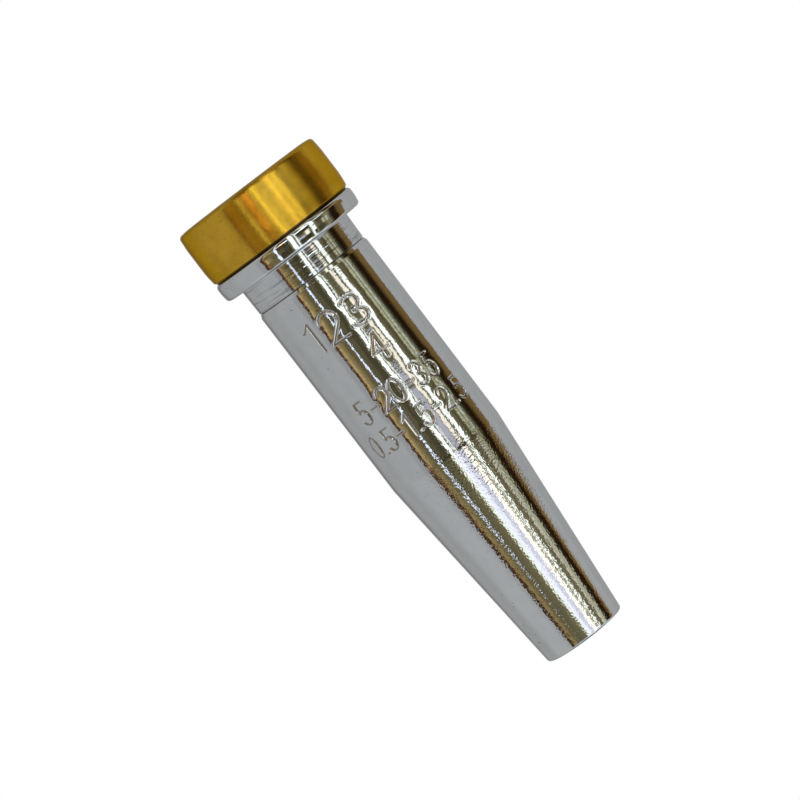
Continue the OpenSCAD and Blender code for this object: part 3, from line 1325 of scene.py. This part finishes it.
    def _enclose(self, bm: BMesh, glow: BMLayerItem) -> None:
        """Sweeps the tent's section round, with the light of each panel.

        Args:
            bm: the tent's mesh.
            glow: the layer that holds the light of a point.
        """
        tier = bm.verts.layers.int.new("tier")
        rail = self._rail(bm, tier)
        bearing = self.first
        for turn, low, high, crown in self._stations():
            grown = bmesh.ops.extrude_edge_only(bm, edges=rail)["geom"]
            rail = [part for part in grown if isinstance(part, BMEdge)]
            column = [part for part in grown if isinstance(part, BMVert)]
            step = Matrix.Rotation(self.angle(turn) - self.angle(bearing), 3, "Z")
            bmesh.ops.rotate(bm, verts=column, cent=(0, 0, 0), matrix=step)
            lights = (*self.base_lights, low, high, crown, self.roof_light)
            for vert in column:
                vert[glow] = (*lights[vert[tier]], 1.0)
            bearing = turn

    def _rail(self, bm: BMesh, tier: BMLayerItem) -> list[BMEdge]:
        """Draws the tent's section at its first bearing, from the middle of the base upwards.

        Args:
            bm: the tent's mesh.
            tier: the layer that holds which light a point shows.

        Returns:
            The section's edges.
        """
        half = self.split_blur / 2
        rise = self.crown_blur / 2
        roof = self.top + self.hem
        section = (
            (self.hub_r, self.foot, 0), (self.dark_r, self.foot, 0), (self.pale_r, self.foot, 1),
            (self.radius, self.foot, 1), (self.radius, self.foot + self.hem, 2),
            (self.radius, self.split - half, 2), (self.radius, self.split + half, 3),
            (self.radius, self.crown - rise, 3), (self.radius, self.crown + rise, 4),
            (self.radius, self.top, 4), (self.radius, roof, 5), (self.hub_r, roof, 5),
        )
        turn = Matrix.Rotation(self.angle(self.first), 3, "Z")
        verts = []
        for radius, height, light in section:
            verts.append(bm.verts.new(turn @ Vector((radius, 0.0, height))))
            verts[-1][tier] = light
        return [bm.edges.new(pair) for pair in zip(verts, verts[1:])]

    def _hang(self, bm: BMesh, glow: BMLayerItem, strip: Strip, radius: float) -> None:
        """Hangs a strip in front of the panels.

        Args:
            bm: the tent's mesh.
            glow: the layer that holds the light of a point.
            strip: the strip.
            radius: its distance from the axis.
        """
        light = (*(Vector(strip.paint.value) * strip.level), 1.0)
        turn = Matrix.Rotation(self.angle(strip.start), 3, "Z")
        column = [bm.verts.new(turn @ Vector((radius, 0.0, z))) for z in (strip.bottom, strip.top)]
        edge = bm.edges.new(column)
        for vert in column:
            vert[glow] = light
        steps = math.ceil((strip.until - strip.start) / self.strip_step)
        width = Matrix.Rotation((self.angle(strip.until) - self.angle(strip.start)) / steps, 3, "Z")
        for _ in range(steps):
            grown = bmesh.ops.extrude_edge_only(bm, edges=[edge])["geom"]
            column = [part for part in grown if isinstance(part, BMVert)]
            bmesh.ops.rotate(bm, verts=column, cent=(0, 0, 0), matrix=width)
            edge = next(edge for edge in column[0].link_edges if column[1] in edge.verts)
            for vert in column:
                vert[glow] = light

    def _stations(self) -> Iterator[tuple[float, Vector, Vector, Vector]]:
        """Walks round the tent.

        Yields:
            Each bearing with the panel's three lights there.
        """
        start = self.first
        blur = self.panels[-1].blur
        for panel in self.panels:
            inner = start + blur / 2
            outer = panel.until - panel.blur / 2
            steps = max(1, math.ceil((outer - inner) / self.panel_step))
            for i in range(steps + 1):
                yield inner + (outer - inner) * i / steps, *panel.lights()
            start = panel.until
            blur = panel.blur
        yield self.first + 360.0 + blur / 2, *self.panels[0].lights()

    @staticmethod
    def _cloth() -> Material:
        """Makes the lit cloth of the panels.

        Returns:
            The material.
        """
        material = bpy.data.materials.new("tent_cloth")
        material.use_nodes = True
        material.cycles.emission_sampling = "NONE"
        bench = Bench(material.node_tree)
        glow = bench.add("Attribute", attribute_name="glow")
        light = bench.add("Emission", {"Color": glow.outputs["Color"], "Strength": 1.0})
        bench.add("OutputMaterial", {"Surface": light.outputs[0]})
        return material


@dataclass
class Studio:
    """White floor and background, and the camera at the photograph's viewing angle."""

    floor_r: float = 400.0
    floor_fade: float = 120.0
    floor_gap: float = 0.05
    floor_white: float = 0.96
    distance: float = 657.0
    below: float = 3.6
    lean: float = 52.71
    lens: float = 218.75
    aim_side: float = 0.68
    aim_height: float = 35.6
    near: float = 10.0
    far: float = 10000.0

    FLOOR_STEPS = 96

    def build(self) -> None:
        """Sets up the world, the floor, the tent and the camera."""
        self._world()
        self._floor()
        LightTent().build()
        self._camera()
        bpy.context.scene.view_settings.view_transform = "Standard"

    @staticmethod
    def _world() -> None:
        """Makes a plain white surrounding at a strength of one."""
        world = bpy.data.worlds.new("white_room")
        world.use_nodes = True
        bench = Bench(world.node_tree)
        light = bench.add("Background", {"Color": (1.0, 1.0, 1.0, 1.0), "Strength": 1.0})
        bench.add("OutputWorld", {"Surface": light.outputs[0]})
        bpy.context.scene.world = world

    def _floor(self) -> None:
        """Lays the white floor, which the metal doesn't reflect."""
        bm = bmesh.new()
        bmesh.ops.create_circle(
            bm, cap_ends=True, segments=self.FLOOR_STEPS, radius=self.floor_r,
            matrix=Matrix.Translation((0.0, 0.0, -self.floor_gap)),
        )
        floor = finished_object("floor", bm, self._floor_paint())
        floor.visible_glossy = False

    def _floor_paint(self) -> Material:
        """Makes a white paint that fades outwards and can't be seen from below.

        Returns:
            The material.
        """
        material = bpy.data.materials.new("white_floor")
        material.use_nodes = True
        bench = Bench(material.node_tree)
        place = bench.add("TexCoord").outputs["Object"]
        away = bench.add("VectorMath", {0: place}, operation="LENGTH").outputs["Value"]
        far = bench.spread(away, self.floor_fade * MM, self.floor_r * MM, 0.0, 1.0)
        under = bench.add("NewGeometry").outputs["Backfacing"]
        clear = bench.maths("MAXIMUM", far, under)
        matt = bench.add("BsdfDiffuse", {"Color": (*[self.floor_white] * 3, 1.0)})
        glass = bench.add("BsdfTransparent")
        mixed = bench.add("MixShader", {0: clear, 1: matt.outputs[0], 2: glass.outputs[0]})
        bench.add("OutputMaterial", {"Surface": mixed.outputs[0]})
        return material

    def _camera(self) -> None:
        """Sets up the camera."""
        data = bpy.data.cameras.new("photo_camera")
        data.lens = self.lens
        data.clip_start = self.near * MM
        data.clip_end = self.far * MM
        camera = bpy.data.objects.new("photo_camera", data)
        camera.matrix_world = self._view()
        bpy.context.scene.collection.objects.link(camera)
        bpy.context.scene.camera = camera

    def _view(self) -> Matrix:
        """Works out a place slightly below the seat face, rolled as in the photograph.

        Returns:
            The camera's matrix, in metres.
        """
        below = math.radians(self.below)
        lean = math.radians(self.lean)
        back = Vector((0.0, -math.cos(below), -math.sin(below)))
        side = Vector((1.0, 0.0, 0.0))
        upright = back.cross(side)
        right = upright * math.cos(lean) - side * math.sin(lean)
        up = -upright * math.sin(lean) - side * math.cos(lean)
        aim = Vector((self.aim_side, 0.0, self.aim_height))
        matrix = Matrix((right, up, back)).transposed().to_4x4()
        matrix.translation = (aim + back * self.distance) * MM
        return matrix


def main() -> None:
    """Builds the studio and both pieces, and reports each piece."""
    logging.basicConfig(level=logging.INFO, format="%(name)s: %(message)s")
    Studio().build()
    effects = Effects()
    for piece in (
        BrassCore().build(TurnedBrass(), effects),
        PlatedShell().build(BrightPlating(), effects),
    ):
        LOG.info("%s: %d faces", piece.name, len(piece.data.polygons))


if __name__ == "__main__":
    main()
